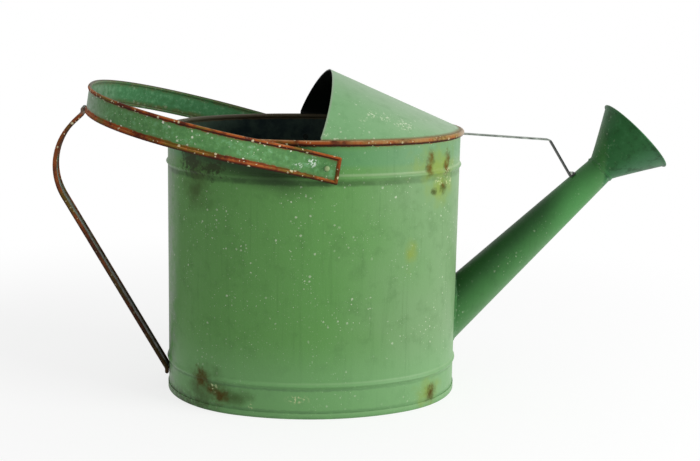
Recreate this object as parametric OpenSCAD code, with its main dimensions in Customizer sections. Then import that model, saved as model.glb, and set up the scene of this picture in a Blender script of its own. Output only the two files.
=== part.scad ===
/* [Body] */
// Length of the oval body over its wall
body_len = 260; // [216:1:320]
// Width of the oval body over its wall
body_width = 210; // [172:1:252]
// How much smaller the radius of the two round ends is than half the width
end_ease = 7; // [4:0.5:9]
// Height to the top of the rolled rim
body_h = 237; // [190:1:290]
// Thickness of the sheet metal
sheet = 0.8; // [0.5:0.1:1.2]
// Radius of the rolled rim
rim_r = 2.4; // [1.8:0.1:3.5]
// How far the middle of the rolled rim stands outside the wall
rim_out = 0.8; // [0.3:0.1:0.9]
// How far the upper pressed bead's middle lies below the top
upper_bead_drop = 31; // [24:1:60]
// Height of the lower pressed bead's middle
lower_bead_z = 28.5; // [22:0.5:36]
// How far the pressed beads stand out
bead_out = 1.5; // [0.8:0.1:2.5]
// Height of one pressed bead
bead_h = 6; // [4:0.5:9]
// Height of the seam that grips the wall's lower edge
seam_h = 5; // [4:0.5:8]

/* [Hood] */
// Height of the hood's peak above the rim
hood_h = 50; // [35:0.2:65]
// How far behind the middle the hood's two feet stand
hood_foot_back = 4.8; // [0:0.2:20]
// How far in front of the middle the hood's peak stands
hood_peak_x = 12.9; // [0:0.1:25]
// Roundness of the hood's mouth, 2 is an ellipse and less is more pointed
hood_round = 1.64; // [1.4:0.02:2.2]
// Height of the hood's two feet
hood_foot_h = 2.5; // [1.5:0.5:5]
// How far the hood's edge stands inside the crown of the rim
hood_set_in = 1.2; // [0.6:0.1:1.6]

/* [Carrying handle] */
// Height of the band, edge to edge
band_w = 23; // [18:0.2:28]
// How far the band's middle line lies below the rim's top, at the body's middle
band_drop = 22.2; // [19:0.2:60]
// Rise of the band for each millimetre away from the spout
band_slope = 0.238; // [0.15:0.002:0.32]
// How far the band's edges lean towards the spout for each millimetre of height
band_lean = 0.16; // [0:0.01:0.24]
// Where the middle of the band's two ends stops, in front of the middle
band_end_x = 10.8; // [8:0.2:20]
// Gap between the wall and the middle of the band at its ends
band_stand_off = 3.9; // [3.6:0.1:7]
// Length of the flat end of the band behind the rivet
band_flat = 5; // [4:0.5:12]
// How far the band stands outside the wall's side where it is widest
band_spread = 23; // [12:1:45]
// Where the band is widest, in front of the body's rear end
band_wide_in = 41; // [20:1:60]
// How far the band reaches behind the body's rear end
band_behind = 67.3; // [50:0.1:100]
// Squareness of the band's closed end, 2 is an ellipse
band_square = 2.37; // [2:0.01:3]
// Radius of the band's rolled edges
roll_r = 1.6; // [1.2:0.1:2]

/* [Rivets] */
// Distance of the rivets in front of the middle
rivet_x = 0.2; // [-2:0.1:4]
// Radius of the rivet heads
rivet_head_r = 2.6; // [2.2:0.1:4]
// Height of the rivet heads
rivet_head_h = 1.6; // [1:0.1:2.2]
// Radius of the rivet shanks
rivet_r = 1.5; // [1:0.1:2]
// Clearance around the rivet shanks
rivet_clear = 0.1; // [0.05:0.05:0.3]

/* [Rear handle] */
// Width of the strip
strip_w = 25; // [16:1:30]
// Radius of the strip's rolled edges
strip_roll_r = 1.8; // [1.2:0.1:2]
// Slope of the upper part, in degrees
strip_upper_slope = 43; // [38:0.5:50]
// How far behind the band the two slopes would meet
strip_knee_out = 43.7; // [40:0.1:60]
// Radius of the large bend between them
strip_bend_r = 54; // [40:1:58]
// Radius of the small bends at both ends
strip_small_bend_r = 3; // [2:0.5:3]
// How far the tab reaches above the band's lower edge
tab_h = 2.5; // [2.5:0.5:8]
// How far the tab's bend lies below the band's lower edge
tab_drop = 2.9; // [2.9:0.1:6]
// How far the foot's bend lies below the lower bead
foot_drop = 7.5; // [4:0.5:8]
// Length of the foot below its bend
foot_h = 5; // [5:0.5:8]

/* [Spout] */
// Slope of the spout, in degrees
spout_slope = 43.9; // [35:0.1:50]
// Height where the spout's axis leaves the wall
spout_z = 70.1; // [66:0.1:90]
// Outer radius of the spout where its axis leaves the wall
spout_base_r = 21.9; // [18:0.1:24]
// Outer radius of the spout's tip
spout_tip_r = 13.1; // [10:0.1:16]
// How far the middle of the spout's tip lies below the rim's top
tip_drop = 36.9; // [20:0.1:60]
// Height of the solder fillet around the spout
fillet = 2.6; // [1.5:0.1:4]

/* [Rose] */
// Slope of the rose, in degrees
rose_slope = 44.8; // [38:0.1:50]
// Radius of the rose's mouth over its rolled edge
rose_mouth_r = 39; // [30:0.1:50]
// Length of the rose's cone
rose_len = 42; // [32:0.5:55]
// Lap of the rose's neck over the spout
neck_lap = 2.5; // [2:0.5:8]
// Flare of the rose, 1 is a straight cone
rose_flare = 1.04; // [1:0.02:1.4]
// Radius of the rose's rolled edge
rose_roll_r = 0.9; // [0.8:0.1:1.5]
// How far the sprinkling face is set back inside the mouth
face_back = 3.2; // [2:0.2:6]
// Radius of the sprinkling holes
spray_r = 0.9; // [0.6:0.1:1.4]
// Rings of sprinkling holes around the middle one
spray_rings = 4; // [2:1:4]
// Plain margin of the face outside its holes
spray_margin = 4; // [3:0.5:8]
// Length of the solder run at the rose's neck
neck_fillet = 1.6; // [1:0.1:2.5]

/* [Spout brace] */
// Width of the brace
brace_w = 8; // [5:0.5:12]
// Thickness of the brace
brace_t = 1.2; // [0.6:0.1:1.5]
// Gap between the rolled rim and the brace under it
brace_gap = 0.5; // [0.2:0.1:5]
// How far the brace's bend lies behind its foot
brace_bend_back = 21.4; // [10:0.2:40]
// Fall of the level part, in degrees
brace_fall = 3.5; // [0:0.1:8]
// How far the brace's foot lies behind the spout's tip
brace_foot_back = 29.5; // [24:0.1:50]
// Length of the tabs at both ends
brace_tab = 5.5; // [4:0.5:8]
// Radius of the brace's bends, inside
brace_round = 3; // [1:0.5:3.5]
// Size of the solder lump in the brace's foot
lump_r = 3.2; // [2:0.1:4]

/* [Hidden] */
$fn = 128;
eps = 0.03;                            // seat left under a faceted face
far = 400;                             // longer than any cut needs
drill = 20;                            // length of the drill for the rivet holes
hair = 0.02;                           // how much smaller the body's side arcs are drawn
paint = "#4f8558";
paint_light = "#86a871";
rust = "#8c5432";
solder_grey = "#8d948a";

// The oval is four tangent arcs: two round ends and two flatter sides.
half_len = body_len / 2;
half_width = body_width / 2;
end_radius = half_width - end_ease;
end_x = half_len - end_radius;         // centre of a round end
side_y = (end_x * end_x - pow(half_width - end_radius, 2)) / (2 * (half_width - end_radius));
side_radius = half_width + side_y;
join_angle = atan2(side_y, end_x);     // where the arcs meet
spout_len = (body_h - tip_drop - spout_z) / sin(spout_slope);
slope_k = (spout_base_r - spout_tip_r) / spout_len;

function smooth(t) = t * t * (3 - 2 * t);
function unit(v) = v / norm(v);

// Distance from the centre to the oval, stood off by o, on a ray at angle t from +X.
function oval_point(t, o) =
    let (s = abs(sin(t)), c = abs(cos(t)), sx = cos(t) < 0 ? -1 : 1, sy = sin(t) < 0 ? -1 : 1,
         re = end_radius + o, rs = side_radius + o,
         de = end_x * c + sqrt(re * re - pow(end_x * s, 2)),
         ds = -side_y * s + sqrt(rs * rs - pow(side_y * c, 2)),
         at_end = atan2(de * s, de * c - end_x) <= join_angle,
         d = at_end ? de : ds)
    [sx * d * c, sy * d * s];

// Sweeps a section, drawn as stand-off and height, around the whole oval. The side arcs run a
// little way into the end arcs, and are drawn a hair smaller, by $inset.
lap = 1;
module arc_sweep(centre, radius, middle, half_angle)
    translate(centre) rotate_extrude(angle = 2 * half_angle, start = middle - half_angle)
        translate([radius, 0]) children();
module around_oval() {
    side_half = 90 - join_angle + lap / side_radius * 180 / PI;
    arc_sweep([end_x, 0], end_radius, 0, join_angle) let ($inset = 0) children();
    arc_sweep([0, -side_y], side_radius, 90, side_half) let ($inset = hair) children();
    arc_sweep([-end_x, 0], end_radius, 180, join_angle) let ($inset = 0) children();
    arc_sweep([0, side_y], side_radius, 270, side_half) let ($inset = hair) children();
}

// Closes a list of rings, all with the same number of points, into one skin.
module skin(rings, closed = false) {
    n = len(rings[0]);
    m = len(rings);
    pts = [for (r = rings) each r];
    last = closed ? m - 1 : m - 2;
    sides = [for (i = [0:last], j = [0:n - 1])
        let (a = i * n + j, b = i * n + (j + 1) % n,
             c = ((i + 1) % m) * n + (j + 1) % n, d = ((i + 1) % m) * n + j)
        each [[a, b, c], [a, c, d]]];
    caps = closed ? [] : [[for (j = [n - 1:-1:0]) j], [for (j = [0:n - 1]) (m - 1) * n + j]];
    polyhedron(points = pts, faces = concat(sides, caps), convexity = 6);
}

// Section of a strip with rolled edges: web half-thickness h, full roll radius roll, which is r here.
roll_steps = 9;
function strip_section(w, h, r, roll) =
    let (a = acos(min(1, h / r)), z = w / 2 - roll)
    concat([for (i = [0:roll_steps]) let (q = -a + (180 + 2 * a) * i / roll_steps)
                [r * cos(q), z + r * sin(q)]],
           [for (i = [0:roll_steps]) let (q = 180 - a + (180 + 2 * a) * i / roll_steps)
                [r * cos(q), -z + r * sin(q)]]);

// Round end of a strip: half-thickness and roll radius at distance s from the end.
end_steps = [0.15, 0.45, 1, 1.55, 1.9, 2.2];
function end_r(s, roll) = s >= roll ? roll : sqrt(roll * roll - pow(s - roll, 2));
function end_h(s, roll) = s >= 2 * roll ? sheet / 2
    : max(sheet / 2, sqrt(max(0, roll * roll - pow(s - roll, 2))));

// ---- body ----
rim_z = body_h - rim_r;
rim_turn = acos(-rim_out / rim_r);     // the curl leaves the wall's outer face here
rim_close = 360 - acos(-(sheet + rim_out) / rim_r);    // and comes back to its inner face here
curl_steps = 20;
upper_bead_z = body_h - upper_bead_drop;
wall_foot = sheet;                     // the wall stands in the seam
function bead_points(z) = [for (i = [0:8])
    [bead_out * (0.5 - 0.5 * cos(45 * i)), z + bead_h * (i / 8 - 0.5)]];
function wall_line() = concat([[0, wall_foot]], bead_points(lower_bead_z), bead_points(upper_bead_z));

module wall_section() {
    line = wall_line();
    g = $inset;
    curl = [for (i = [0:curl_steps]) let (q = -rim_turn + (rim_close + rim_turn) * i / curl_steps)
                [rim_out + (rim_r - g) * cos(q), rim_z + (rim_r - g) * sin(q)]];
    outer = [for (p = line) p - [g, p == line[0] ? -g : 0]];
    inner = [for (i = [len(line) - 1:-1:0]) outer[i] - [sheet - 2 * g, 0]];
    polygon(concat(outer, curl, inner));
}

module spout_cone(off, from, to) {
    translate([half_len, 0, spout_z]) rotate([0, 90 - spout_slope, 0]) translate([0, 0, from])
        cylinder(h = to - from, r1 = spout_base_r - slope_k * from + off,
                 r2 = spout_base_r - slope_k * to + off);
}

band_end_y = half_width + band_stand_off;
function band_mid(x) = body_h - band_drop - band_slope * x;
rivet_z = band_mid(rivet_x);
module at_rivet(side) translate([rivet_x, side * half_width, rivet_z]) rotate([-90 * side, 0, 0]) children();

module body_wall() color(paint) difference() {
    around_oval() wall_section();
    spout_cone(-sheet, -end_radius / 2, end_radius / 2);
    for (side = [-1, 1]) at_rivet(side)
        translate([0, 0, -drill / 2]) cylinder(h = drill, r = rivet_r + rivet_clear, $fn = 32);
}

// A flat floor whose edge turns down, under the wall and up its outside.
floor_in = 5;                          // the flat floor's edge, inside the wall
floor_lap = 3;                         // how far the turned edge runs into the floor
module base_plate() color(paint) {
    floor_z = seam_h - sheet;
    root = floor_in + floor_lap;
    around_oval() let (g = $inset) polygon([
        [g - 2 * sheet, 0], [sheet - g, 0], [sheet - g, seam_h], [g, seam_h], [g, wall_foot],
        [-sheet - g, wall_foot], [-sheet - g, seam_h], [-root, seam_h], [-root, floor_z],
        [g - 2 * sheet, floor_z]]);
    translate([0, 0, floor_z]) linear_extrude(sheet)
        polygon([for (i = [0:119]) oval_point(3 * i, -floor_in)]);
}

// ---- hood ----
// The hood is ruled from the rim to its mouth, which leans forward to the peak.
hood_cols = 60;
hood_rows = 6;
hood_seat = rim_out - hood_set_in;     // stand-off of the hood's sheet where it sits on the rim
hood_base_z = rim_z + sqrt(rim_r * rim_r - pow(max(0, hood_set_in - sheet / 2), 2)) + eps;
function hood_foot_angle() =
    90 + atan(hood_foot_back / (half_width + hood_seat));
function hood_mouth(t, o) =
    let (c = cos(t), s = sin(t), w = half_width + hood_seat + o,
         cc = (c < 0 ? -1 : 1) * pow(abs(c), 2 / hood_round), ss = pow(s, 2 / hood_round))
    [-hood_foot_back + (hood_foot_back + hood_peak_x) * ss,
     w * cc, hood_base_z + hood_foot_h + (hood_h - hood_foot_h + o) * ss];
function hood_rim(t, o) =
    let (p = oval_point(hood_foot_angle() * (1 - t / 90), hood_seat + o)) [p[0], p[1], hood_base_z];
function hood_ring(row, o) = [for (i = [0:hood_cols])
    let (t = 180 * i / hood_cols, v = row / hood_rows)
    hood_rim(t, o) * (1 - v) + hood_mouth(t, o) * v];

module hood() color(paint_light)
    skin([for (i = [0:hood_cols])
        concat([for (row = [0:hood_rows]) hood_ring(row, sheet / 2)[i]],
               [for (row = [hood_rows:-1:0]) hood_ring(row, -sheet / 2)[i]])]);

// ---- carrying handle ----
band_half_w = half_width + band_spread;
band_wide_x = half_len - band_wide_in;
band_reach = half_len + band_behind;
band_up = unit([band_lean, 0, 1]);     // across the band, from its lower edge to its upper
band_bend_steps = 42;
band_side_steps = 16;
band_cut = end_steps[5] * roll_r;      // length of the thickened end
function band_side() = concat(
    [for (e = end_steps) [band_end_x - e * roll_r, 0]],
    [for (i = [1:band_side_steps]) [band_end_x - band_cut
        - (band_end_x - band_cut + band_wide_x) * i / band_side_steps, 0]],
    [for (i = [1:band_bend_steps]) [0, 90 * i / band_bend_steps]]);
band_pad_x = rivet_x - band_flat;      // the band starts to widen here
function band_plan(p) = p[1] == 0
    ? [p[0], -(band_end_y + (band_half_w - band_end_y)
        * smooth(max(0, band_pad_x - p[0]) / (band_pad_x + band_wide_x)))]
    : [-band_wide_x - (band_reach - band_wide_x) * pow(sin(p[1]), 2 / band_square),
       -band_half_w * pow(max(0, cos(p[1])), 2 / band_square)];
function band_path() =
    let (near = [for (p = band_side()) band_plan(p)], n = len(near))
    concat(near, [for (i = [n - 2:-1:0]) [near[i][0], -near[i][1]]]);

module handle_band() color(paint) difference() {
    path = [for (p = band_path()) [p[0], p[1], band_mid(p[0])]];
    n = len(path);
    skin([for (i = [0:n - 1])
        let (d = path[min(n - 1, i + 1)] - path[max(0, i - 1)], out = unit(cross(band_up, d)),
             s = band_end_x - path[i][0])
        [for (q = strip_section(band_w, end_h(s, roll_r), end_r(s, roll_r), roll_r))
            path[i] + out * q[0] + band_up * q[1]]]);
    for (side = [-1, 1]) at_rivet(side)
        cylinder(h = drill, r = rivet_r + rivet_clear, $fn = 32);
}

// A domed head outside the band, a shank, and a flat head inside the wall.
module handle_rivet(side) color(paint) at_rivet(side) {
    reach = band_stand_off + sheet / 2;   // outer face of the band's flat end
    rotate_extrude() polygon(concat(
        [[0, -sheet - rivet_head_h / 2], [rivet_head_r, -sheet - rivet_head_h / 2],
         [rivet_head_r, -sheet - eps], [rivet_r, -sheet - eps], [rivet_r, reach + eps]],
        [for (i = [0:8]) let (q = 90 * i / 8)
            [rivet_head_r * cos(q), reach + eps + rivet_head_h * sin(q)]]));
}

// ---- rear handle ----
// The strip's tab sits behind the band's lower roll, and its foot on the wall.
low_roll = [-band_reach, band_mid(-band_reach)] - [band_up[0], band_up[2]] * (band_w / 2 - roll_r);
strip_top_x = low_roll[0] - roll_r - strip_roll_r - eps;
strip_foot_x = -(half_len + strip_roll_r + eps);
strip_knee_x = -(band_reach + strip_knee_out);
band_low_z = low_roll[1] - roll_r;
tab_bend_z = band_low_z - tab_drop;
knee_z = tab_bend_z - (strip_top_x - strip_knee_x) * tan(strip_upper_slope);
foot_bend_z = lower_bead_z - bead_h / 2 - foot_drop;
strip_corners = [[strip_top_x, band_low_z + tab_h], [strip_top_x, tab_bend_z], [strip_knee_x, knee_z],
                 [strip_foot_x, foot_bend_z], [strip_foot_x, foot_bend_z - foot_h]];
strip_radii = [0, strip_small_bend_r, strip_bend_r, strip_small_bend_r, 0];
strip_arc_steps = [0, 6, 22, 6, 0];

// Points along an arc that rounds the corner b between a and c.
function round_corner(a, b, c, r, k) =
    let (u = unit(a - b), v = unit(c - b), half = acos(u * v) / 2, t = r / tan(half),
         m = b + unit(u + v) * r / sin(half), p = b + u * t - m, q = b + v * t - m,
         turn = 180 - 2 * half)
    [for (i = [0:k]) m + (p * sin(turn * (1 - i / k)) + q * sin(turn * i / k)) / sin(turn)];
function strip_path() =
    let (up = unit(strip_corners[1] - strip_corners[0]), down = unit(strip_corners[3] - strip_corners[4]))
    concat([for (e = end_steps) strip_corners[0] + up * e * strip_roll_r],
           [for (i = [1:3]) each round_corner(strip_corners[i - 1], strip_corners[i],
                strip_corners[i + 1], strip_radii[i], strip_arc_steps[i])],
           [for (i = [5:-1:0]) strip_corners[4] + down * end_steps[i] * strip_roll_r]);

module rear_handle() color(paint) {
    path = strip_path();
    n = len(path);
    skin([for (i = [0:n - 1])
        let (d = unit(path[min(n - 1, i + 1)] - path[max(0, i - 1)]), p = path[i],
             s = min(norm(p - strip_corners[0]), norm(p - strip_corners[4])))
        [for (q = strip_section(strip_w, end_h(s, strip_roll_r), end_r(s, strip_roll_r), strip_roll_r))
            [p[0] + q[0] * d[1], q[1], p[1] - q[0] * d[0]]]]);
}

// ---- spout ----
module end_column(off, z0, z1) translate([end_x, 0, z0]) cylinder(h = z1 - z0, r = end_radius + off);

module spout() color(paint) difference() {
    spout_cone(0, -end_radius / 2, spout_len);
    spout_cone(-sheet, -end_radius / 2 - 1, spout_len + 1);
    end_column(0, -far, far);
}

// Unit vector along the spout, and a vector across it at angle q.
spout_dir = [cos(spout_slope), 0, sin(spout_slope)];
function spout_across(q) = [-sin(spout_slope) * cos(q), sin(q), cos(spout_slope) * cos(q)];
function spout_skin(q, t, off) =
    [half_len, 0, spout_z] + spout_dir * t + spout_across(q) * (spout_base_r - slope_k * t + off);
// Distance along the spout where its outer skin crosses the wall, at angle q.
function spout_cross(q) =
    let (g = spout_across(q), p = [half_len - end_x, 0] + [g[0], g[1]] * spout_base_r,
         v = [spout_dir[0], 0] - [g[0], g[1]] * slope_k,
         a = v * v, b = 2 * p * v, c = p * p - end_radius * end_radius)
    (-b + sqrt(b * b - 4 * a * c)) / (2 * a);
function to_wall(p, off) =
    let (v = [p[0] - end_x, p[1]], k = (end_radius + off) / norm(v)) [end_x + v[0] * k, v[1] * k, p[2]];
// The fillet's size wanders a little, as hand-run solder does.
function wander(q) = 1 + 0.16 * sin(5 * q + 40) + 0.12 * sin(11 * q) + 0.08 * sin(23 * q + 10);

solder_bulge = 0.14;                   // how far the solder's face swells, for each mm of its size
module spout_solder() color(paint)
    skin([for (i = [0:89]) let (q = -4 * i, t = spout_cross(q), f = fillet * wander(q),
            root = spout_skin(q, t, eps), up = spout_skin(q, t + f, eps),
            out = to_wall(root + spout_across(q) * f, eps))
        [to_wall(root, eps), out, (root + up + out) / 3 + (up - root + out - root) * solder_bulge, up]],
        closed = true);

// ---- rose ----
tip = [half_len + spout_len * cos(spout_slope), 0, spout_z + spout_len * sin(spout_slope)];
neck_wall = 0.75 * sheet;              // the neck is worked thinner where it grips the spout
neck_r = spout_tip_r + slope_k * neck_lap + neck_wall;
rose_edge_r = rose_mouth_r - rose_roll_r;
function rose_r(s) = neck_r + (rose_edge_r - neck_r) * pow(max(0, s) / rose_len, rose_flare);
module at_rose() translate(tip) rotate([0, 90 - rose_slope, 0]) children();
rose_steps = 10;
rose_wall = sheet / cos(atan2(rose_edge_r - neck_r, rose_len));     // measured across the axis
face_s = rose_len - face_back;

module rose_shell() color(paint) difference() {
    at_rose() {
        rotate_extrude() polygon(concat(
            [[spout_tip_r - sheet, -neck_lap], [neck_r, -neck_lap]],
            [for (i = [0:rose_steps]) let (s = rose_len * i / rose_steps) [rose_r(s), s]],
            [for (i = [rose_steps:-1:1]) let (s = rose_len * i / rose_steps) [rose_r(s) - rose_wall, s]],
            [[spout_tip_r - sheet, 0]]));
        rotate_extrude() translate([rose_edge_r, rose_len]) circle(r = rose_roll_r, $fn = 24);
    }
    spout_cone(eps, spout_len - neck_lap - drill, spout_len);
}

spray_pitch = (rose_r(face_s) - rose_wall - spray_margin) / spray_rings;
module rose_face() color(rust) at_rose() difference() {
    in0 = rose_r(face_s) - rose_wall - eps;
    in1 = rose_r(face_s + sheet) - rose_wall - eps;
    translate([0, 0, face_s]) cylinder(h = sheet, r1 = in0, r2 = in1);
    for (ring = [0:spray_rings]) for (i = [0:max(1, 6 * ring) - 1])
        rotate(i * 60 / max(1, ring)) translate([ring * spray_pitch, 0, face_s - 1])
            cylinder(h = sheet + 2, r = spray_r, $fn = 16);
}

// Solder runs round the neck's edge, where it laps the spout.
ridge_rise = 0.6;                      // height of the run, for each mm of its length
rose_dir = [cos(rose_slope), 0, sin(rose_slope)];
function neck_cross(q) =
    let (p = spout_skin(q, 0, 0) - tip, v = spout_skin(q, 1, 0) - spout_skin(q, 0, 0))
    (-neck_lap - p * rose_dir) / (v * rose_dir);

module rose_solder() color(solder_grey)
    skin([for (i = [0:59]) let (q = -6 * i, t = neck_cross(q) - eps, f = neck_fillet * wander(q + 60),
            root = spout_skin(q, t, eps), low = spout_skin(q, t - f, eps),
            out = root + spout_across(q) * f * ridge_rise)
        [root, low, (root + low + out) / 3 + (low - root + out - root) * solder_bulge, out]],
        closed = true);

// ---- spout brace ----
// The strip's lower line: tab on the wall, level part, leg, and tab on the spout.
function spout_top(x) = // height of the spout's upper line above x
    let (p = spout_skin(0, 0, 0), v = spout_skin(0, 1, 0) - p) p[2] + (x - p[0]) * v[2] / v[0];
spout_top_dir = unit(let (v = spout_skin(0, 1, 0) - spout_skin(0, 0, 0)) [v[0], v[2]]);
brace_z = body_h - 2 * rim_r - brace_gap - brace_t;
brace_foot_x = tip[0] - brace_foot_back;
brace_bend_x = brace_foot_x - brace_bend_back;
brace_bend = [brace_bend_x, brace_z - (brace_bend_x - half_len) * tan(brace_fall)];
brace_foot = [brace_foot_x, spout_top(brace_foot_x) + eps];
brace_leg_dir = unit(brace_bend - brace_foot);
brace_line = [[half_len + brace_t, brace_z - brace_tab], [half_len + brace_t, brace_z], brace_bend,
              brace_foot, brace_foot + spout_top_dir * brace_tab];
// Left side of the line at distance t, by the bisector at each inner corner.
function side_line(l, t) = [for (i = [0:len(l) - 1])
    let (a = unit(l[min(i + 1, len(l) - 1)] - l[min(i, len(l) - 2)]),
         b = unit(l[max(i, 1)] - l[max(i, 1) - 1]), n = [-a[1] - b[1], a[0] + b[0]])
    l[i] + n * t / (1 + a * b)];
// The line with corner k rounded at radius r.
function rounded(l, k, r) = [for (i = [0:len(l) - 1]) each
    i == k ? round_corner(l[i - 1], l[i], l[i + 1], r, 6) : [l[i]]];
brace_corner = side_line(brace_line, brace_t)[3];      // inner corner at the foot

module from_side(width) rotate([90, 0, 0]) translate([0, 0, -width / 2]) linear_extrude(width) children();

module spout_brace() color(solder_grey) difference() {
    upper = rounded(side_line(brace_line, brace_t), 2, brace_round + brace_t);
    lower = rounded(brace_line, 2, brace_round);
    from_side(brace_w) polygon(concat(lower, [for (i = [len(upper) - 1:-1:0]) upper[i]]));
    end_column(0, 0, far);
}

// A lump of solder fills the corner between the brace's leg and its tab.
module brace_solder() color(solder_grey) intersection() {
    u = spout_top_dir * 2 * lump_r;
    v = brace_leg_dir * 2 * lump_r;
    c = brace_corner;
    from_side(brace_w) polygon([c, c + u, c + u + v, c + v]);
    translate([c[0], 0, c[1]]) sphere(r = lump_r, $fn = 40);
}

body_wall();
base_plate();
hood();
handle_band();
handle_rivet(-1);  // handle_rivet_front
handle_rivet(1);  // handle_rivet_back
rear_handle();
spout();
spout_solder();
rose_shell();
rose_face();
rose_solder();
spout_brace();
brace_solder();
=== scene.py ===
# %% [markdown]
# # A rusty watering can
# This lesson dresses a finished metal model in its looks. The can is sheet steel, cut, rolled and
# soldered by hand, brushed with green oil paint, and then left outdoors for years. The shapes come
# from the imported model, so what is left to make is the paint, the rust, the light and the camera.
# Every length is in metres, in the model's own frame: +X to the spout, +Z up, the ground at zero.

import math

import bpy
from mathutils import Matrix, Vector

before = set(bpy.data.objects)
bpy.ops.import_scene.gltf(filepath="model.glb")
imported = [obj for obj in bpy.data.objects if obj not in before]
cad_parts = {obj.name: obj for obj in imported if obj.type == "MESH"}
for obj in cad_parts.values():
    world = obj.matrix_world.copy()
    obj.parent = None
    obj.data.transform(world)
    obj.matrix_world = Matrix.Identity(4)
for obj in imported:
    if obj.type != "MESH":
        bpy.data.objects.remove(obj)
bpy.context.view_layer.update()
print("pieces:", sorted(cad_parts))

# %% [markdown]
# ## Colours and real sizes
# A colour is given as an sRGB hex value, as on a paint card, but Blender mixes light with
# linear numbers. One function makes the change, so a colour is only ever written as its hex.
# Patterns are given by the size of their features in millimetres. A noise texture repeats about
# once for each unit of its scale, so the scale for a feature is one divided by its size.

# %% Helpers for colours and sizes
MM = 0.001


def linear(hex_colour):
    """Turns an sRGB hex colour into the linear RGBA that a shader socket takes."""
    parts = [int(hex_colour[i:i + 2], 16) / 255 for i in (1, 3, 5)]
    return tuple(c / 12.92 if c <= 0.04045 else ((c + 0.055) / 1.055) ** 2.4 for c in parts) + (1.0,)


print("mid green, linear:", [round(c, 3) for c in linear("#68945f")[:3]])

# %% [markdown]
# ## One way to add a node
# A material is a small network. Each node is added by the same function: its kind, its options,
# and its inputs, which are either plain values or another node's output. Reading such a call
# from top to bottom then tells the same story as following the wires on the screen.

# %% The node helper
def add(tree, kind, inputs=None, **options):
    """Adds one shader node, sets its options, then fills its inputs with values or links."""
    made = tree.nodes.new("ShaderNode" + kind)
    for name, value in options.items():
        setattr(made, name, value)
    for name, value in (inputs or {}).items():
        if isinstance(value, bpy.types.NodeSocket):
            tree.links.new(value, made.inputs[name])
        else:
            made.inputs[name].default_value = value
    return made


print("every node below is made by:", add.__name__)

# %% [markdown]
# ## Where a mark is
# Each mark on the can is a coat of colour, laid over those before it through a mask. The mask is 0
# where the mark is missing and 1 where it is whole, and it could be painted by hand on the model.
# Here it is written as a list of limits instead, so that it follows real heights and distances.
# A limit such as (height, 20, 30) rises smoothly from 0 at a height of 20 to 1 at 30, and
# (height, 30, 20) is 1 below 20 and 0 above 30. A mask is the product of all its limits.

# %% Masks
def weigh(tree, start, *parts):
    """A start value plus each part times its own weight. The parts are (value, weight) pairs."""
    for value, weight in parts:
        start = add(tree, "Math", {0: value, 1: weight, 2: start}, operation="MULTIPLY_ADD").outputs[0]
    return start


def frayed(tree, value, noise, by):
    """A value pushed up or down by noise, so that a limit on it has a torn edge."""
    return weigh(tree, value, (weigh(tree, -0.5, (noise, 1.0)), by))


def where_all(tree, *limits):
    """1 where every limit holds. A limit is a mask, a plain amount, or (value, 0 there, 1 there)."""
    whole = None
    for limit in limits:
        if isinstance(limit, tuple):
            value, low, high = limit
            limit = add(tree, "MapRange", {"Value": value, "From Min": low, "From Max": high},
                        interpolation_type="SMOOTHSTEP").outputs["Result"]
        if whole is None:
            whole = limit
        else:
            whole = add(tree, "Math", {0: whole, 1: limit}, operation="MULTIPLY").outputs[0]
    return whole


def where_any(tree, *limits):
    """The largest of several masks, so it is 1 where any limit holds."""
    whole = where_all(tree, limits[0])
    for limit in limits[1:]:
        whole = add(tree, "Math", {0: whole, 1: where_all(tree, limit)}, operation="MAXIMUM").outputs[0]
    return whole


def between(value, low, high, soft):
    """Two limits that keep a value between low and high, with soft edges inside them."""
    return (value, low, low + soft), (value, high, high - soft)


print("limits for a stripe from 10 to 20:", between("height", 10, 20, 2))

# %% [markdown]
# ## What colour it has
# A Mix node lays one colour over another, as a brush does: a mask of 0.3 leaves seven tenths of the
# colour below it. A whole finish is many such coats, and the last one is on top.

# %% Coats
def lay_over(tree, under, over, *limits):
    """Lays one colour over another, as far as all the limits let it."""
    made = add(tree, "Mix", {"Factor": where_all(tree, *limits)}, data_type="RGBA")
    for socket, colour in ((made.inputs[6], under), (made.inputs[7], over)):
        if isinstance(colour, bpy.types.NodeSocket):
            tree.links.new(colour, socket)
        else:
            socket.default_value = linear(colour)
    return made.outputs[2]


print("every coat below is laid by:", lay_over.__name__)

# %% [markdown]
# ## Clouds and speckles
# Weather works in blotches of every size, which is what a noise texture draws.
# Chips, splashes and droppings are scattered dots. A Voronoi texture gives each cell a centre and a
# random colour: the dot is drawn where the distance to the centre is less than that random size.

# %% Clouds and speckles
RARITY = 3.0  # the power that makes large dots rare among small ones
SPECK_TEAR = 0.45  # how far noise moves a dot's edge, as a share of its cell


def cloud(tree, where, size_mm, detail=4.0, rough=0.55, stretch=(1, 1, 1)):
    """Noise whose lumps are size_mm across, longer along an axis where stretch is more than 1."""
    squeezed = add(tree, "VectorMath", {0: where, 1: [1 / s for s in stretch]},
                   operation="MULTIPLY").outputs[0]
    return add(tree, "TexNoise", {"Vector": squeezed, "Scale": 1 / size_mm, "Detail": detail,
                                  "Roughness": rough}).outputs["Fac"]


def speckles(tree, where, cell_mm, largest):
    """Ragged dots, one to a cell at most. The largest one's radius is a share of the cell."""
    cells = add(tree, "TexVoronoi", {"Vector": where, "Scale": 1 / cell_mm, "Randomness": 1.0}).outputs
    chance = add(tree, "SeparateColor", {"Color": cells["Color"]}).outputs[0]
    rare = add(tree, "Math", {0: chance, 1: RARITY}, operation="POWER").outputs[0]
    depth = weigh(tree, 0.0, (rare, largest), (cells["Distance"], -1.0))
    depth = frayed(tree, depth, cloud(tree, where, cell_mm / 4, detail=2.0), SPECK_TEAR)
    return where_all(tree, (depth, 0.0, 0.05))


print("one dot in", round(1 / (1 - 0.5 ** (1 / RARITY)), 1), "is more than half the largest radius")
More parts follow.
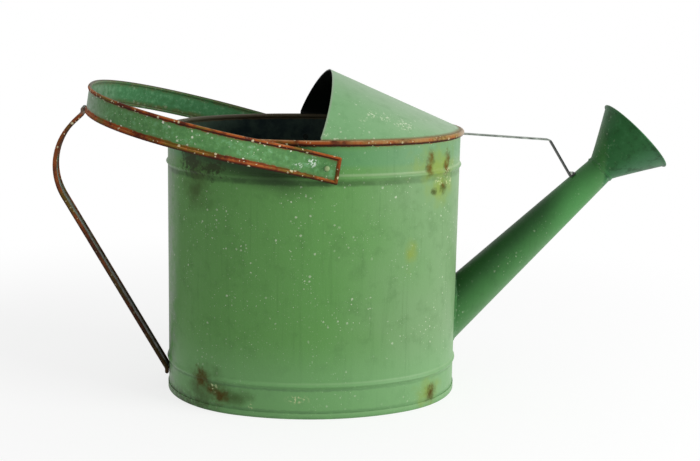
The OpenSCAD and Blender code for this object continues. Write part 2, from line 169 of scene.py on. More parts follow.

# %% [markdown]
# ## Placed patches and flakes
# Rust isn't scattered evenly. It starts where water sits, so its larger patches are listed one
# by one, each as a soft ellipsoid with a centre and three half-sizes in millimetres.
# Paint lets go in the same way: many small flakes, close together, round a weak place.

# %% Patches and flakes
FLAKE_NOISE_MM = 2.2  # leaves flakes about 1.5 mm across


def patches(tree, where, places, ragged=0.5, tear=1.4, soft=0.7):
    """Soft ellipsoids as one mask. Their edges are torn by the noise in ragged, 0.5 for none."""
    depths = []
    for centre, half_sizes in places:
        local = add(tree, "Mapping", {"Vector": where, "Location": centre, "Scale": half_sizes},
                    vector_type="TEXTURE").outputs[0]
        away = add(tree, "VectorMath", {0: local}, operation="LENGTH").outputs["Value"]
        depths.append(weigh(tree, 1.0, (away, -1.0)))
    return where_all(tree, (frayed(tree, where_any(tree, *depths), ragged, tear), 0.0, soft))


def flaking(tree, spot, places):
    """Small torn flakes, gathered round each of the places."""
    torn = cloud(tree, spot["where"], FLAKE_NOISE_MM, detail=3.0, rough=0.6)
    return where_all(tree, patches(tree, spot["where"], places), (torn, 0.53, 0.6), 0.9)


print("noise for flakes:", FLAKE_NOISE_MM, "mm")

# %% [markdown]
# ## Looking about
# Every finish starts with two questions: where on the can is this point, and which way does its
# surface face? The answers are in the model's own frame, so a limit such as a height of 20 means
# 20 mm above the ground, on each piece alike.

# %% Look about
def look_about(tree):
    """The sockets that marks are drawn from: the place in mm, and the way the surface faces."""
    place = add(tree, "TexCoord").outputs["Object"]
    where = add(tree, "VectorMath", {0: place, "Scale": 1 / MM}, operation="SCALE").outputs[0]
    x, y, z = add(tree, "SeparateXYZ", {0: where}).outputs
    facing = add(tree, "NewGeometry").outputs["Normal"]
    upward = add(tree, "SeparateXYZ", {0: facing}).outputs[2]
    return {"where": where, "x": x, "y": y, "z": z, "facing": facing, "upward": upward}


print("places are read in mm, at", 1 / MM, "to the metre")

# %% [markdown]
# ## Green oil paint on steel
# The can was brushed with linseed-oil paint over sheet steel. Such paint has a refractive index
# near 1.5 and a satin surface when new. Years outdoors make it chalky: it fades in clouds, holds
# dirt in its brush marks, and lets go in chips, so the eye sees many greens, none of them flat.
# Chalk scatters light, so the mirror on it is less than half as strong as on fresh paint.
# Rain runs down a standing can, so one noise is stretched along Z to make its faint drip lines.
# What is special to one piece, its rust and its dirt, is laid on last by a function of its own.

# %% The paint
FADING_MM = 90.0  # a faded cloud is about as wide as a hand, and moves the fading's edge as far
FADED_FROM, FADED_TO = 40.0, 175.0  # the places along X between which the fading grows
MOTTLE_MM = 14.0  # a blotch of weather
GRAIN_MM = 1.4  # brush marks, drawn a little coarser than they are so that they show
DRIP_MM = 3.5
DRIP_STRETCH = (1, 1, 22)
SPECKS = ((4.0, 0.29), (1.8, 0.3))  # a cell in mm, and the largest radius as a share of it
GATHERED_MM = 30.0  # specks gather in areas of this size
PAINT_RELIEF_MM = 0.35
CHALKY_MIRROR = 0.22  # fresh paint has 0.5


def oil_paint(name, green, faded, shaded, marks, speck_amount=1.0, roughness=0.45):
    """Aged green paint. marks(tree, spot, colour) gives the marked colour and a mask of bare rust."""
    material = bpy.data.materials.new(name)
    material.use_nodes = True
    tree = material.node_tree
    shader = tree.nodes["Principled BSDF"]
    spot = look_about(tree)
    where = spot["where"]
    mottle = cloud(tree, where, MOTTLE_MM, detail=7.0, rough=0.62)
    spot["mottle"] = mottle
    grain = cloud(tree, where, GRAIN_MM, detail=3.0)
    drips = cloud(tree, where, DRIP_MM, detail=4.0, stretch=DRIP_STRETCH)
    fading = weigh(tree, spot["x"], (cloud(tree, where, FADING_MM, detail=3.0), FADING_MM))
    colour = lay_over(tree, green, faded, (fading, FADED_FROM, FADED_TO))
    colour = lay_over(tree, colour, shaded, (mottle, 0.48, 0.72), 0.3)
    colour = lay_over(tree, colour, shaded, (drips, 0.52, 0.75), 0.22)
    colour = lay_over(tree, colour, faded, (grain, 0.55, 0.75), 0.3)
    dots = where_any(tree, *(speckles(tree, where, cell_mm, share) for cell_mm, share in SPECKS))
    gathered = cloud(tree, where, GATHERED_MM, detail=3.0)
    dots = where_all(tree, dots, (gathered, 0.42, 0.62), speck_amount)
    colour = lay_over(tree, colour, "#cbd8bb", dots, 0.75)
    colour, bare = marks(tree, spot, colour)
    pitted = where_all(tree, bare, grain)
    height = weigh(tree, 0.0, (grain, 0.5), (dots, 0.5), (mottle, 1.1), (pitted, 1.6))
    rough = weigh(tree, roughness - 0.12, (mottle, 0.25), (bare, 0.3))
    bump = add(tree, "Bump", {"Height": height, "Strength": 0.5, "Distance": PAINT_RELIEF_MM * MM})
    tree.links.new(colour, shader.inputs["Base Color"])
    tree.links.new(rough, shader.inputs["Roughness"])
    tree.links.new(bump.outputs["Normal"], shader.inputs["Normal"])
    shader.inputs["IOR"].default_value = 1.5
    shader.inputs["Specular IOR Level"].default_value = CHALKY_MIRROR
    print("paint made:", name, "with", len(tree.nodes), "nodes")
    return material


print("widest specks in mm:", [round(2 * cell_mm * share, 1) for cell_mm, share in SPECKS])

# %% [markdown]
# ## Two kinds of rust
# Where a rolled edge is rubbed and wet, the paint is gone and the rust is thick: orange-brown, a
# little tan on its top, and nearly black beneath, as painted shade.
# Where water only soaks through, the rust stains the paint first yellow-olive and then brown. It
# has no clear edge, so those patches are soft, with a wide halo round a small dark heart.

# %% Rust on edges, and rust that soaks through
EDGE_RUST_MM = 15.0  # the shade of edge rust changes about this often
EDGE_OLIVE_MM = 24.0
HALO_NOISE_MM = 12.0
HEART_NOISE_MM = 4.0


def edge_rust(tree, spot, colour, amount, top_tone="#b57a45"):
    """Thick rust on a rolled edge, which changes slowly along it, with painted shade beneath and cream
    chips of old paint.
    """
    along = cloud(tree, spot["where"], EDGE_RUST_MM, detail=4.0, rough=0.6)
    tone = lay_over(tree, "#54200a", "#9c4a14", (along, 0.36, 0.58))
    tone = lay_over(tree, tone, "#6d5412", (cloud(tree, spot["where"], EDGE_OLIVE_MM), 0.5, 0.62))
    tone = lay_over(tree, tone, top_tone, (spot["upward"], 0.45, 0.95), (along, 0.38, 0.6), 0.75)
    # painted shade: the rust's downward faces are nearly black
    tone = lay_over(tree, tone, "#340d05", (spot["upward"], 0.2, -0.5))
    tone = lay_over(tree, tone, "#d8cfa8", speckles(tree, spot["where"], 3.2, 0.45), 0.8)
    return lay_over(tree, colour, tone, amount)


def soaked_rust(tree, spot, colour, halos, hearts):
    """Olive halos with brown hearts, both soft. Gives the colour and the mask of the hearts."""
    wandering = cloud(tree, spot["where"], HALO_NOISE_MM, detail=4.0)
    halo = patches(tree, spot["where"], halos, wandering, soft=1.1)
    olive = lay_over(tree, "#33480c", "#839734", (spot["x"], -60.0, 40.0))
    colour = lay_over(tree, colour, olive, halo, 0.8)
    ragged = cloud(tree, spot["where"], HEART_NOISE_MM, detail=4.0, rough=0.6)
    heart = patches(tree, spot["where"], hearts, ragged, soft=1.0)
    tone = lay_over(tree, "#353c00", "#5c4400", (spot["mottle"], 0.46, 0.6))
    tone = lay_over(tree, tone, "#483800", (spot["z"], 60.0, 30.0))
    return lay_over(tree, colour, tone, heart, 0.96), heart


print("edge rust varies every", EDGE_RUST_MM, "mm, and a heart's edge every", HEART_NOISE_MM, "mm")

# %% [markdown]
# ## The body
# Its rolled rim has lost nearly all its paint. Below it water has run down in two streaks near the
# spout, and damp ground has eaten the foot of the wall. A painted shadow and smudges of dirt darken
# the wall under the band, and painted shade and dirt lie under both pressed beads and along the foot.
# The inside is painted nearly black as painted shade, with painted light greening its rear end.
# Each place is a centre and three half-sizes in millimetres. Minus Y is the more weathered side.

# %% Where the body has rusted and flaked
RUST_HEARTS = [
    ((91.5, -78, 218), (6, 7, 11)),
    ((90, -79.5, 210), (6, 7, 11)),
    ((109.5, -61, 217), (7, 8, 10)),
    ((108, -62.5, 210), (7, 8, 10)),
    ((96, -75, 190), (6, 6, 5)),
    ((105, -65, 193), (8, 8, 8)),
    ((-101, -69, 27), (13, 13, 14)),
    ((-94, -76, 19), (8, 8, 8)),
    ((-86, -82, 15), (14, 12, 11)),
    ((98, -72, 11), (11, 10, 11)),
    ((-64, 91, 19), (13, 12, 11)),
    ((-48, 97, 13), (11, 10, 9)),
    ((82, 84, 13), (12, 11, 9)),
    ((66, 91, 213), (6, 8, 13)),
]
SMUDGES = [
    ((-110, -60, 214), (22, 16, 15)),
    ((-92, -76, 210), (18, 12, 10)),
    ((-88, 79, 206), (20, 15, 11)),
]
PALE_FLAKES = [
    ((-91, -78, 21), (6, 6, 6)),
    ((109, -61, 206), (10, 10, 4)),
    ((111, -59, 197), (9, 9, 6)),
    ((101, -69, 199), (9, 9, 5)),
    ((-60, -93, 10), (5, 6, 5)),
    ((-20, -99, 17), (14, 12, 6)),
]
RUST_HALOS = [
    ((-105, -65, 190), (24, 24, 24)),
    ((99, -72, 213), (38, 38, 24)),
    ((102, -68, 192), (26, 26, 19)),
    ((-103, -66, 203), (24, 24, 27)),
    ((-96, -73, 19), (36, 34, 25)),
    ((-74, -87, 15), (24, 20, 13)),
    ((97, -73, 12), (22, 22, 18)),
    ((74, -88, 138), (10, 10, 15)),
    ((-56, 94, 17), (34, 28, 20)),
    ((82, 84, 14), (24, 22, 18)),
    ((67, 90, 208), (24, 22, 22)),
    ((-86, 80, 196), (24, 20, 22)),
]
print("rust hearts:", len(RUST_HEARTS), "halos:", len(RUST_HALOS), "flaked places:", len(PALE_FLAKES))

# %% [markdown]
# Painted shade and dirt darken the creases under each bead and at the foot, and painted highlights
# lie along the crests between them. Each is a stripe between two heights, and noise moves the
# creases' edges so that no line looks ruled. A painted shadow of the band darkens the near side
# under it, and a painted grazing reflection greys the rear edge.

# %% The dirt and painted light on the wall
BAND_FALL = 0.238  # the band's middle line falls this much for each mm towards the spout
WOBBLE_MM = 3.0  # how far noise moves a crease's edge
# painted shade, with some dirt, in the creases under the beads and at the foot
CREASE_SHADE_AND_DIRT = (  # each from and to a height, with its softness, colour and amount
    (198.0, 205.0, 2.6, "#2b4a20", 0.7),
    (23.4, 26.6, 1.2, "#264220", 0.85),
    (4.0, 8.0, 1.6, "#2a4a20", 0.85),
    (-1.0, 2.2, 1.0, "#33462a", 0.8),
)
# Painted highlights along the crests, each from and to a height, with its amount.
PAINTED_HIGHLIGHTS = ((206.6, 210.0, 0.3), (29.5, 32.2, 0.25), (2.6, 5.4, 0.2))


def wall_dirt_and_painted_light(tree, spot, colour, ragged, wobbly):
    """Painted shade and dirt in the creases, painted highlights on the crests, a paler foot, a painted
    grazing reflection on the rear, grime at the ground, and the band's painted shadow.
    """
    x, z = spot["x"], spot["z"]
    colour = lay_over(tree, colour, "#57906f", *between(z, 212.0, 233.0, 6.0), 0.35)
    uneven = where_all(tree, (cloud(tree, spot["where"], 18.0, detail=4.0), 0.2, 0.52))
    # painted shade and dirt in the creases, darker towards the rear
    darkening = weigh(tree, 0.45, (where_all(tree, (x, 120.0, -20.0)), 0.55))
    for low, high, soft, tone, amount in CREASE_SHADE_AND_DIRT:
        colour = lay_over(tree, colour, tone, *between(wobbly, low, high, soft), uneven, amount, darkening)
    # painted highlights: pale stripes along the crests of the beads and the seam
    for low, high, amount in PAINTED_HIGHLIGHTS:
        colour = lay_over(tree, colour, "#b4c79f", *between(z, low, high, 1.4), (x, -80.0, 0.0), amount)
    colour = lay_over(tree, colour, "#7bab74", (wobbly, 75.0, 25.0), 0.55)
    # painted reflection: a pale grey grazing sheen along the rear edge of the wall
    colour = lay_over(tree, colour, "#9dac99", (x, -118.0, -129.0), (spot["mottle"], 0.36, 0.6), 0.65,
                      (z, 7.0, 12.0))
    colour = lay_over(tree, colour, "#3a3a22", (wobbly, 16.0, 3.0), (x, -78.0, -108.0),
                      (ragged, 0.38, 0.56), 0.7)
    # painted shadow: the band's shadow on the near side of the wall, below its lower edge
    under_band = weigh(tree, z, (x, BAND_FALL))
    return lay_over(tree, colour, "#152c0b", (under_band, 178.0, 197.0), (x, 5.0, -45.0),
                    (spot["y"], -40.0, -60.0), 0.9)


print("creases and crests at heights in mm:", [row[0] for row in CREASE_SHADE_AND_DIRT + PAINTED_HIGHLIGHTS])

# %% [markdown]
# The rim is found by its height and is rusted all round. Its rust is browner and duller inside the
# can, tan towards the sunny end, and bleached at the very tip by the spout.

# %% The body's paint
RIM_FROM, RIM_TO = 231.4, 232.4  # heights between which the paint gives way to rust


def faces_the_axis(tree, spot):
    """1 on faces that look inwards, at the can's own axis."""
    outwards = add(tree, "CombineXYZ", {"X": spot["x"], "Y": spot["y"]}).outputs[0]
    turned = add(tree, "VectorMath", {0: spot["facing"], 1: outwards}, operation="DOT_PRODUCT")
    return where_all(tree, (turned.outputs["Value"], 0.0, -8.0))


def body_marks(tree, spot, colour):
    """Dirt with painted shade and light, soaked rust, smudges and flakes, then the painted shade of the
    inside, and the bare rim.
    """
    x = spot["x"]
    ragged = cloud(tree, spot["where"], 4.0, detail=5.0, rough=0.65)
    wobbly = frayed(tree, spot["z"], ragged, WOBBLE_MM)
    colour = wall_dirt_and_painted_light(tree, spot, colour, ragged, wobbly)
    colour, bare = soaked_rust(tree, spot, colour, RUST_HALOS, RUST_HEARTS)
    smudge = patches(tree, spot["where"], SMUDGES, ragged, tear=3.4)
    colour = lay_over(tree, colour, "#202a00", smudge, 0.85)
    colour = lay_over(tree, colour, "#c5cf9c", flaking(tree, spot, PALE_FLAKES))
    within = faces_the_axis(tree, spot)
    # painted shade: the inside is nearly black, with painted light greening its rear end
    painted_inner_shade = lay_over(tree, "#1d2b2c", "#33443c", (spot["mottle"], 0.4, 0.65))
    painted_inner_shade = lay_over(tree, painted_inner_shade, "#566b58", (x, -60.0, -110.0), 0.7)
    colour = lay_over(tree, colour, painted_inner_shade, within)
    rim = where_all(tree, (wobbly, RIM_FROM, RIM_TO))
    far_side = where_all(tree, (spot["y"], 20.0, 60.0), within)
    colour = lay_over(tree, colour, "#59472b", rim, far_side, 0.6)
    rim = where_all(tree, rim, weigh(tree, 1.0, (far_side, -1.0)))
    rusted = where_all(tree, rim, weigh(tree, 1.0, (within, -0.8)))
    colour = edge_rust(tree, spot, colour, rusted, top_tone="#b5946a")
    colour = lay_over(tree, colour, "#a08450", rim, (x, -5.0, 60.0), (ragged, 0.3, 0.6),
                      (spot["upward"], -0.5, 0.2), 0.75)
    colour = lay_over(tree, colour, "#b3a79a", rim, (x, 117.0, 128.0), 0.7)
    return colour, where_any(tree, bare, rim)


body_paint = oil_paint("body_oil_paint", "#60954f", "#7a9c6f", "#456f39", body_marks,
                       speck_amount=0.85)

# %% [markdown]
# ## The hood
# Its sheet catches the most light and rain, so it has faded furthest. The raw edge of its mouth is
# rubbed to a pale line, and the side that looks down into the can is painted dark as painted shade,
# like the can's inside.
# The mouth lies in a leaning plane, so its edge is found by the distance along X from that plane.

# %% The hood's paint
MOUTH_FOOT_X, MOUTH_FOOT_Z = -4.8, 239.5  # where the mouth meets the rim
MOUTH_LEAN = 0.373  # how far the mouth moves along X for each mm of height
CHIPS_ON_HOOD = [
    ((-1, -98, 242), (5, 9, 5)),
    ((6, -101, 238.5), (8, 8, 3)),
    ((30, -78, 251), (8, 14, 4)),
    ((40, -72, 255), (7, 14, 4)),
    ((51, -72, 252), (7, 14, 4)),
    ((68, -74, 246), (12, 12, 6)),
]


def hood_marks(tree, spot, colour):
    """The mouth's rubbed edge, a few chips, the rusty seat on the rim, and painted shade on the
    underside.
    """
    ragged = cloud(tree, spot["where"], 3.0, detail=5.0, rough=0.65)
    from_mouth = weigh(tree, MOUTH_LEAN * MOUTH_FOOT_Z - MOUTH_FOOT_X, (spot["x"], 1.0),
                       (spot["z"], -MOUTH_LEAN), (ragged, 1.0))
    colour = lay_over(tree, colour, "#8d9a86", (from_mouth, 2.6, 1.6), 0.6)
    colour = lay_over(tree, colour, "#d2dfbe", flaking(tree, spot, CHIPS_ON_HOOD))
    towards_ridge = weigh(tree, spot["z"], (spot["x"], 0.45))
    colour = lay_over(tree, colour, "#9fae9b", (towards_ridge, 272.0, 300.0), 0.45)
    seat = where_all(tree, (weigh(tree, spot["z"], (ragged, 1.0)), 239.2, 237.6))
    colour = lay_over(tree, colour, "#7a4a26", seat, 0.7)
    # painted shade: the side that looks into the can is nearly black
    return lay_over(tree, colour, "#070d09", faces_the_axis(tree, spot)), where_all(tree, seat, 0.8)


hood_paint = oil_paint("hood_oil_paint", "#76a572", "#8db386", "#5f8f5b", hood_marks, speck_amount=0.8)

# %% [markdown]
# ## The spout, its rose and their solder
# This end was brushed with a darker green, and less light reaches it. The top of the spout is
# given painted shade, and its underside a lighter coat of painted light.
# Paint lies thin over the solder at both ends, and has flaked there. One paint covers all of it,
# and the place along X tells where the rose begins.

# %% The spout's paint
def spout_marks(tree, spot, colour):
    """Painted light on the spout's and the rose's undersides, painted shade on their tops, a colder
    rose, and flakes near both soldered ends.
    """
    x, upward, mottle = spot["x"], spot["upward"], spot["mottle"]
    on_rose = where_all(tree, (x, 262.0, 266.0))
    on_spout = weigh(tree, 1.0, (on_rose, -1.0))
    # painted light: the spout's downward faces are lighter
    colour = lay_over(tree, colour, "#639060", (upward, 0.1, -0.8), on_spout, 0.85)
    # painted shade: the upward faces of the spout and rose are darker
    colour = lay_over(tree, colour, "#143f18", (upward, -0.1, 0.6), 0.8)
    colour = lay_over(tree, colour, "#4a8c4a", *between(x, 205.0, 270.0, 30.0), on_spout, 0.6)
    colour = lay_over(tree, colour, "#215f30", on_rose, 0.8)
    # painted light: the rose's downward faces are lighter
    colour = lay_over(tree, colour, "#4a7d59", on_rose, (upward, -0.3, -0.8), 0.7)
    colour = lay_over(tree, colour, "#143f16", on_rose, (mottle, 0.5, 0.62), 0.6)
    colour = lay_over(tree, colour, "#41804e", on_rose, (mottle, 0.47, 0.36), 0.45)
    colour = lay_over(tree, colour, "#5b7a5c", on_rose, (upward, 0.3, 0.75), 0.6)
    ragged = cloud(tree, spot["where"], 3.0, detail=6.0, rough=0.65)
    by_the_tip = where_all(tree, *between(x, 254.0, 272.0, 6.0))
    soldered = where_any(tree, (x, 142.0, 130.0), by_the_tip)
    flakes = where_all(tree, (ragged, 0.58, 0.68), soldered, 0.6)
    return lay_over(tree, colour, "#93a98a", flakes), where_all(tree, flakes, 0.5)


spout_paint = oil_paint("spout_oil_paint", "#306430", "#3b7139", "#20461f", spout_marks,
                        speck_amount=0.4)

# %% [markdown]
# ## The carrying band and its rivets
# The band is a long strip whose two edges are rolled over for the hand. Rust follows the rolls and
# the bar at each end, and the paint between them is knocked and speckled. A strip's own middle
# line falls towards the spout, so its edges are found by their distance from that sloping line.

# %% The band's paint
BAND_MIDDLE = 214.8  # the middle line's height at the can's middle
BAND_STRETCH = 1.0246  # mm above the middle line for each mm across the leaning band
BAND_LEAN = 0.158  # how far along X each mm across the band goes
BAND_TEAR = 2.2  # how far noise moves the rust's edge, in mm
CHIPS_ON_BAND = [
    ((-12, -109, 220), (6, 12, 6)),
    ((-43, -104, 220), (9, 12, 6)),
    ((-24, -107, 217), (7, 12, 4)),
    ((-150, -75, 246), (22, 20, 9)),
]


def band_marks(tree, spot, colour):
    """Rust on the rolled edges and end bars, chips near them, and a darker inner face."""
    x = spot["x"]
    ragged = cloud(tree, spot["where"], 5.0, detail=5.0, rough=0.65)
    across = weigh(tree, -BAND_MIDDLE / BAND_STRETCH, (spot["z"], 1 / BAND_STRETCH),
                   (x, BAND_FALL / BAND_STRETCH))
    off_middle = add(tree, "Math", {0: across}, operation="ABSOLUTE").outputs[0]
    lower_rear = where_all(tree, (across, 0.0, -6.0), (x, 0.0, -60.0))
    off_middle = weigh(tree, frayed(tree, off_middle, ragged, BAND_TEAR), (lower_rear, 1.6))
    from_end = frayed(tree, weigh(tree, x, (across, -BAND_LEAN)), ragged, BAND_TEAR)
    within = faces_the_axis(tree, spot)
    outer = weigh(tree, 1.0, (within, -0.85))
    colour = lay_over(tree, colour, "#458358", within, 0.75)
    colour = lay_over(tree, colour, "#81917f", (x, -172.0, -196.0), (ragged, 0.3, 0.55), 0.65)
    colour = lay_over(tree, colour, "#7cb585", (ragged, 0.5, 0.66), 0.45)
    colour = lay_over(tree, colour, "#3b6c3c", (ragged, 0.5, 0.36), 0.45)
    colour = lay_over(tree, colour, "#4f4a12", (off_middle, 5.0, 8.4), (ragged, 0.35, 0.6), 0.6)
    chips = speckles(tree, spot["where"], 4.2, 0.45)
    colour = lay_over(tree, colour, "#e4ead6", chips, (off_middle, 3.0, 7.0), outer, 0.9)
    colour = lay_over(tree, colour, "#dcebdc", flaking(tree, spot, CHIPS_ON_BAND), outer)
    edges = where_any(tree, (off_middle, 7.7, 8.4), (from_end, 7.0, 7.8))
    rusted = where_all(tree, edges, outer)
    colour = edge_rust(tree, spot, colour, rusted)
    return lay_over(tree, colour, "#34260f", edges, within, (spot["upward"], 0.2, 0.7), 0.8), rusted


band_paint = oil_paint("band_oil_paint", "#578a4e", "#6fa66d", "#3a5f34", band_marks, speck_amount=1.5)

# %% [markdown]
# Each rivet was painted along with the band. Its head is rubbed pale outside, and painted dark inside,
# as painted shade.

# %% The rivets' paint
def rivet_marks(tree, spot, colour):
    """A pale rubbed crown, and painted shade on the inner head, as dark as the can's inside."""
    side = add(tree, "Math", {0: spot["y"]}, operation="ABSOLUTE").outputs[0]
    colour = lay_over(tree, colour, "#a9b684", (side, 109.8, 110.6), 0.6)
    inner = where_all(tree, (side, 105.0, 104.0))
    # painted shade on the head inside the can
    return lay_over(tree, colour, "#101a15", inner), where_all(tree, inner, 0.4)


rivet_paint = oil_paint("rivet_oil_paint", "#5d8c55", "#7ca673", "#3f6a3a", rivet_marks)

# %% [markdown]
# ## The rear strip
# The hand rarely touches it and rain runs down it, so it is the rustiest piece. Its paint is a thin
# grey-green film between rusted edges, nearly black towards the foot.

# %% The rear strip's paint
STRIP_TEAR = 3.0  # how far noise moves the rust's edge, in mm
WORN_ON_STRIP = [((-231, -9, 212), (6, 7, 6)), ((-236, -9, 188), (5, 6, 8))]


def strip_marks(tree, spot, colour):
    """Rusty edges, brown film inside, and a dark foot."""
    ragged = cloud(tree, spot["where"], 6.0, detail=6.0, rough=0.65)
    side = add(tree, "Math", {0: spot["y"]}, operation="ABSOLUTE").outputs[0]
    film = where_all(tree, (ragged, 0.38, 0.62))
    colour = lay_over(tree, colour, "#5d4b34", film, 0.65)
    edges = where_all(tree, (frayed(tree, side, ragged, STRIP_TEAR), 8.7, 9.6))
    colour = edge_rust(tree, spot, colour, where_all(tree, edges, 0.92))
    colour = lay_over(tree, colour, "#231509", (spot["z"], 215.0, 60.0), 0.78)
    worn = patches(tree, spot["where"], WORN_ON_STRIP, ragged, tear=2.6)
    colour = lay_over(tree, colour, "#cfc9b4", worn, 0.7)
    colour = lay_over(tree, colour, "#7c8076", (spot["z"], 246.0, 249.0), (ragged, 0.3, 0.5), 0.7)
    return colour, where_any(tree, edges, where_all(tree, film, 0.6))


strip_paint = oil_paint("strip_oil_paint", "#56705a", "#6d8068", "#3b3a2c", strip_marks)

# %% [markdown]
# ## The sprinkling face
# Water stands in the rose after each use, so its pierced face has rusted through the paint from
# the holes outwards, in patches about as wide as the space between two rings of holes.

# %% The face's paint
FACE_PATCH_MM = 7.0


def face_marks(tree, spot, colour):
    """Clouds of rust over most of the face, with paint left between them."""
    darkening = cloud(tree, spot["where"], FACE_PATCH_MM, detail=6.0, rough=0.65)
    eaten = where_all(tree, (darkening, 0.36, 0.5))
    tone = lay_over(tree, "#4a2410", "#8a4a1c", (spot["mottle"], 0.4, 0.6))
    return lay_over(tree, colour, tone, eaten, 0.92), eaten


face_paint = oil_paint("face_oil_paint", "#2c5c31", "#3f7042", "#20461f", face_marks)

# %% [markdown]
# ## Tinned strip and solder
# The brace is a narrow strip of tinned steel and the lumps are soft solder. Both are metal with a
# dull grey oxide over it, which hides part of the metal: so the finish is more than half metallic,
# and its roughness varies with the oxide. The brace's leg, from its bend to the spout, is sooty.

# %% The brace's tin
OXIDE_MM = 6.0
OXIDE_RELIEF_MM = 0.3
SOOT_FROM = 213.0  # along X, where the brace bends down to the spout


def dull_tin(name, light, dark, sooty_from=None):
    """Weathered tin, rough and patchy with oxide. It is nearly black in front of sooty_from."""
    material = bpy.data.materials.new(name)
    material.use_nodes = True
    tree = material.node_tree
    shader = tree.nodes["Principled BSDF"]
    spot = look_about(tree)
    oxide = cloud(tree, spot["where"], OXIDE_MM, detail=6.0, rough=0.6)
    colour = lay_over(tree, dark, light, (oxide, 0.35, 0.65))
    if sooty_from:
        colour = lay_over(tree, colour, "#161a16", (spot["x"], sooty_from, sooty_from + 2.0), 0.9)
    bump = add(tree, "Bump", {"Height": oxide, "Strength": 0.5, "Distance": OXIDE_RELIEF_MM * MM})
    tree.links.new(colour, shader.inputs["Base Color"])
    tree.links.new(weigh(tree, 0.4, (oxide, 0.3)), shader.inputs["Roughness"])
    tree.links.new(bump.outputs["Normal"], shader.inputs["Normal"])
    shader.inputs["Metallic"].default_value = 0.6
    print("tin made:", name, "with", len(tree.nodes), "nodes")
    return material


brace_tin = dull_tin("brace_tin", "#97a096", "#565f56", sooty_from=SOOT_FROM)
solder_grey = dull_tin("solder_grey", "#c2c8bd", "#8b9288")

# %% [markdown]
# ## A finish for each piece
# The model gives each piece slots for its materials. Only what is in a slot is changed: the
# piece's shape and place stay as they were packed. The two solder runs that were painted over wear
# the spout's paint, and only the lump under the brace's foot shows its own grey.

# %% Give each piece its finish
FINISHES = {
    "body_wall": body_paint,
    "base_plate": body_paint,
    "hood": hood_paint,
    "handle_band": band_paint,
    "handle_rivet_front": rivet_paint,
    "handle_rivet_back": rivet_paint,
    "rear_handle": strip_paint,
    "spout": spout_paint,
    "spout_solder": spout_paint,
    "rose_shell": spout_paint,
    "rose_face": face_paint,
    "rose_solder": spout_paint,
    "spout_brace": brace_tin,
    "brace_solder": solder_grey,
}
for name, finish in FINISHES.items():
    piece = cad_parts[name]
    for slot in piece.material_slots:
        slot.material = finish
    print(name, "has", len(piece.material_slots), "slot,", len(piece.data.polygons), "faces")

# %% [markdown]
# ## The floor
# A studio's white sweep. It has to keep the can's soft shadow and still look white to the camera,
# so it glows a little for the rays that look at it, and fades to pure white away from the can.
# The light that it throws back onto the can comes from its plain light grey.

# %% The floor
FLOOR_DROP = 0.2 * MM  # just under the can, so that the two never share a face
FADE_FROM, FADE_TO = 0.35, 0.75  # metres from the can's middle


def looking_rays(tree):
    """1 for the rays that look at the room: from the camera, through glass, or in a mirror."""
    rays = add(tree, "LightPath").outputs
    return where_any(tree, rays["Is Camera Ray"], rays["Is Transmission Ray"], rays["Is Glossy Ray"])


floor_mesh = bpy.data.meshes.new("floor")
floor_mesh.from_pydata([(-6, -4, 0), (6, -4, 0), (6, 9, 0), (-6, 9, 0)], [], [(0, 1, 2, 3)])
floor = bpy.data.objects.new("floor", floor_mesh)
bpy.context.scene.collection.objects.link(floor)
floor.location.z = -FLOOR_DROP
floor_white = bpy.data.materials.new("floor_white")
floor_white.use_nodes = True
tree = floor_white.node_tree
tree.nodes.remove(tree.nodes["Principled BSDF"])
seen = looking_rays(tree)
place = add(tree, "TexCoord").outputs["Object"]
away = add(tree, "VectorMath", {0: place}, operation="LENGTH").outputs["Value"]
cloth = add(tree, "BsdfDiffuse", {"Color": lay_over(tree, "#e2e2e2", "#949494", seen)}).outputs[0]
glow = add(tree, "Emission", {"Strength": where_all(tree, seen, 0.75)}).outputs[0]
near = add(tree, "AddShader", {0: cloth, 1: glow}).outputs[0]
white = add(tree, "Emission", {"Strength": 1.0}).outputs[0]
far_off = where_all(tree, (away, FADE_FROM, FADE_TO), seen)
whole = add(tree, "MixShader", {0: far_off, 1: near, 2: white}).outputs[0]
tree.links.new(whole, tree.nodes["Material Output"].inputs["Surface"])
floor_mesh.materials.append(floor_white)
print("floor made, with", len(tree.nodes), "nodes,", round(FLOOR_DROP / MM, 1), "mm under the can")

# %% [markdown]
# ## The lights
# The room itself is a soft white light, as from a large tent, which fills every shadow. To the
# camera it looks twice as bright as it shines. One broad lamp stands beyond the spout, low and to
# the near side, so the can is lit from its spout end, and its rear falls off into shade.

# %% The lights
ROOM_GLOW = 0.5


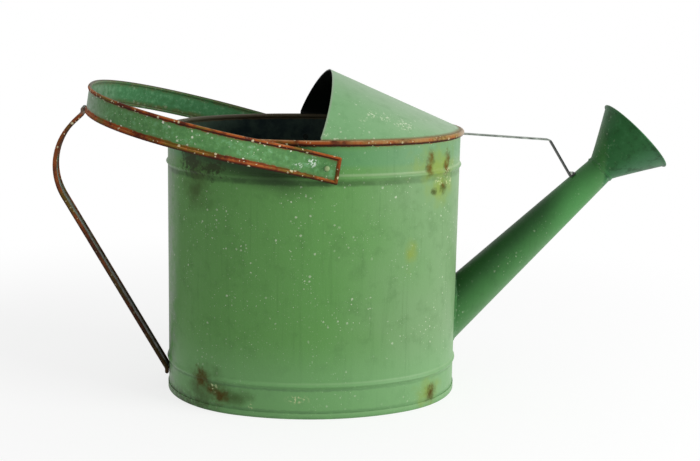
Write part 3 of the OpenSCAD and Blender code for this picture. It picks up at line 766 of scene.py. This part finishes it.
def soft_box(name, place, target, size, power):
    """A square area lamp that looks from its place at a target."""
    lamp = bpy.data.lights.new(name, "AREA")
    lamp.shape = "SQUARE"
    lamp.size = size
    lamp.energy = power
    made = bpy.data.objects.new(name, lamp)
    bpy.context.scene.collection.objects.link(made)
    made.location = place
    made.rotation_euler = (Vector(target) - Vector(place)).to_track_quat("-Z", "Y").to_euler()
    return made


world = bpy.data.worlds.new("soft_room")
bpy.context.scene.world = world
world.use_nodes = True
tree = world.node_tree
background = tree.nodes["Background"].inputs
background["Color"].default_value = (1, 1, 1, 1)
level = weigh(tree, ROOM_GLOW, (looking_rays(tree), 1 - ROOM_GLOW))
tree.links.new(level, background["Strength"])
key_lamp = soft_box("key_lamp", place=(1.7, -1.0, 0.75), target=(0.05, 0, 0.12), size=1.2, power=32)
print("lamp:", key_lamp.name, key_lamp.data.energy, "W,", round(key_lamp.location.length, 2), "m away")

# %% [markdown]
# ## The camera
# A fairly long lens stands about 1.2 m away, a little above the rim, and looks slightly down. A
# wider lens from nearer by would show the same can with its near side swollen.

# %% The camera
CAMERA_PLACE = Vector((-0.10551, -1.15338, 0.36843))
YAW, PITCH, ROLL = 0.1197, 0.1925, 0.0204  # radians: to the right, down, and a slight tilt
camera_data = bpy.data.cameras.new("camera")
camera_data.lens = 67.12
camera_data.sensor_width = 36.0
camera = bpy.data.objects.new("camera", camera_data)
bpy.context.scene.collection.objects.link(camera)
ahead = Vector((math.sin(YAW) * math.cos(PITCH), math.cos(YAW) * math.cos(PITCH), -math.sin(PITCH)))
right = Vector((math.cos(YAW), -math.sin(YAW), 0))
up = right.cross(ahead)
across = math.cos(ROLL) * right + math.sin(ROLL) * up
upright = -math.sin(ROLL) * right + math.cos(ROLL) * up
turn = Matrix((across, upright, -ahead)).transposed().to_4x4()
camera.matrix_world = Matrix.Translation(CAMERA_PLACE) @ turn
bpy.context.scene.camera = camera
bpy.context.scene.view_settings.view_transform = "Standard"
print("camera:", round(CAMERA_PLACE.length, 2), "m away, lens", round(camera_data.lens, 2), "mm")
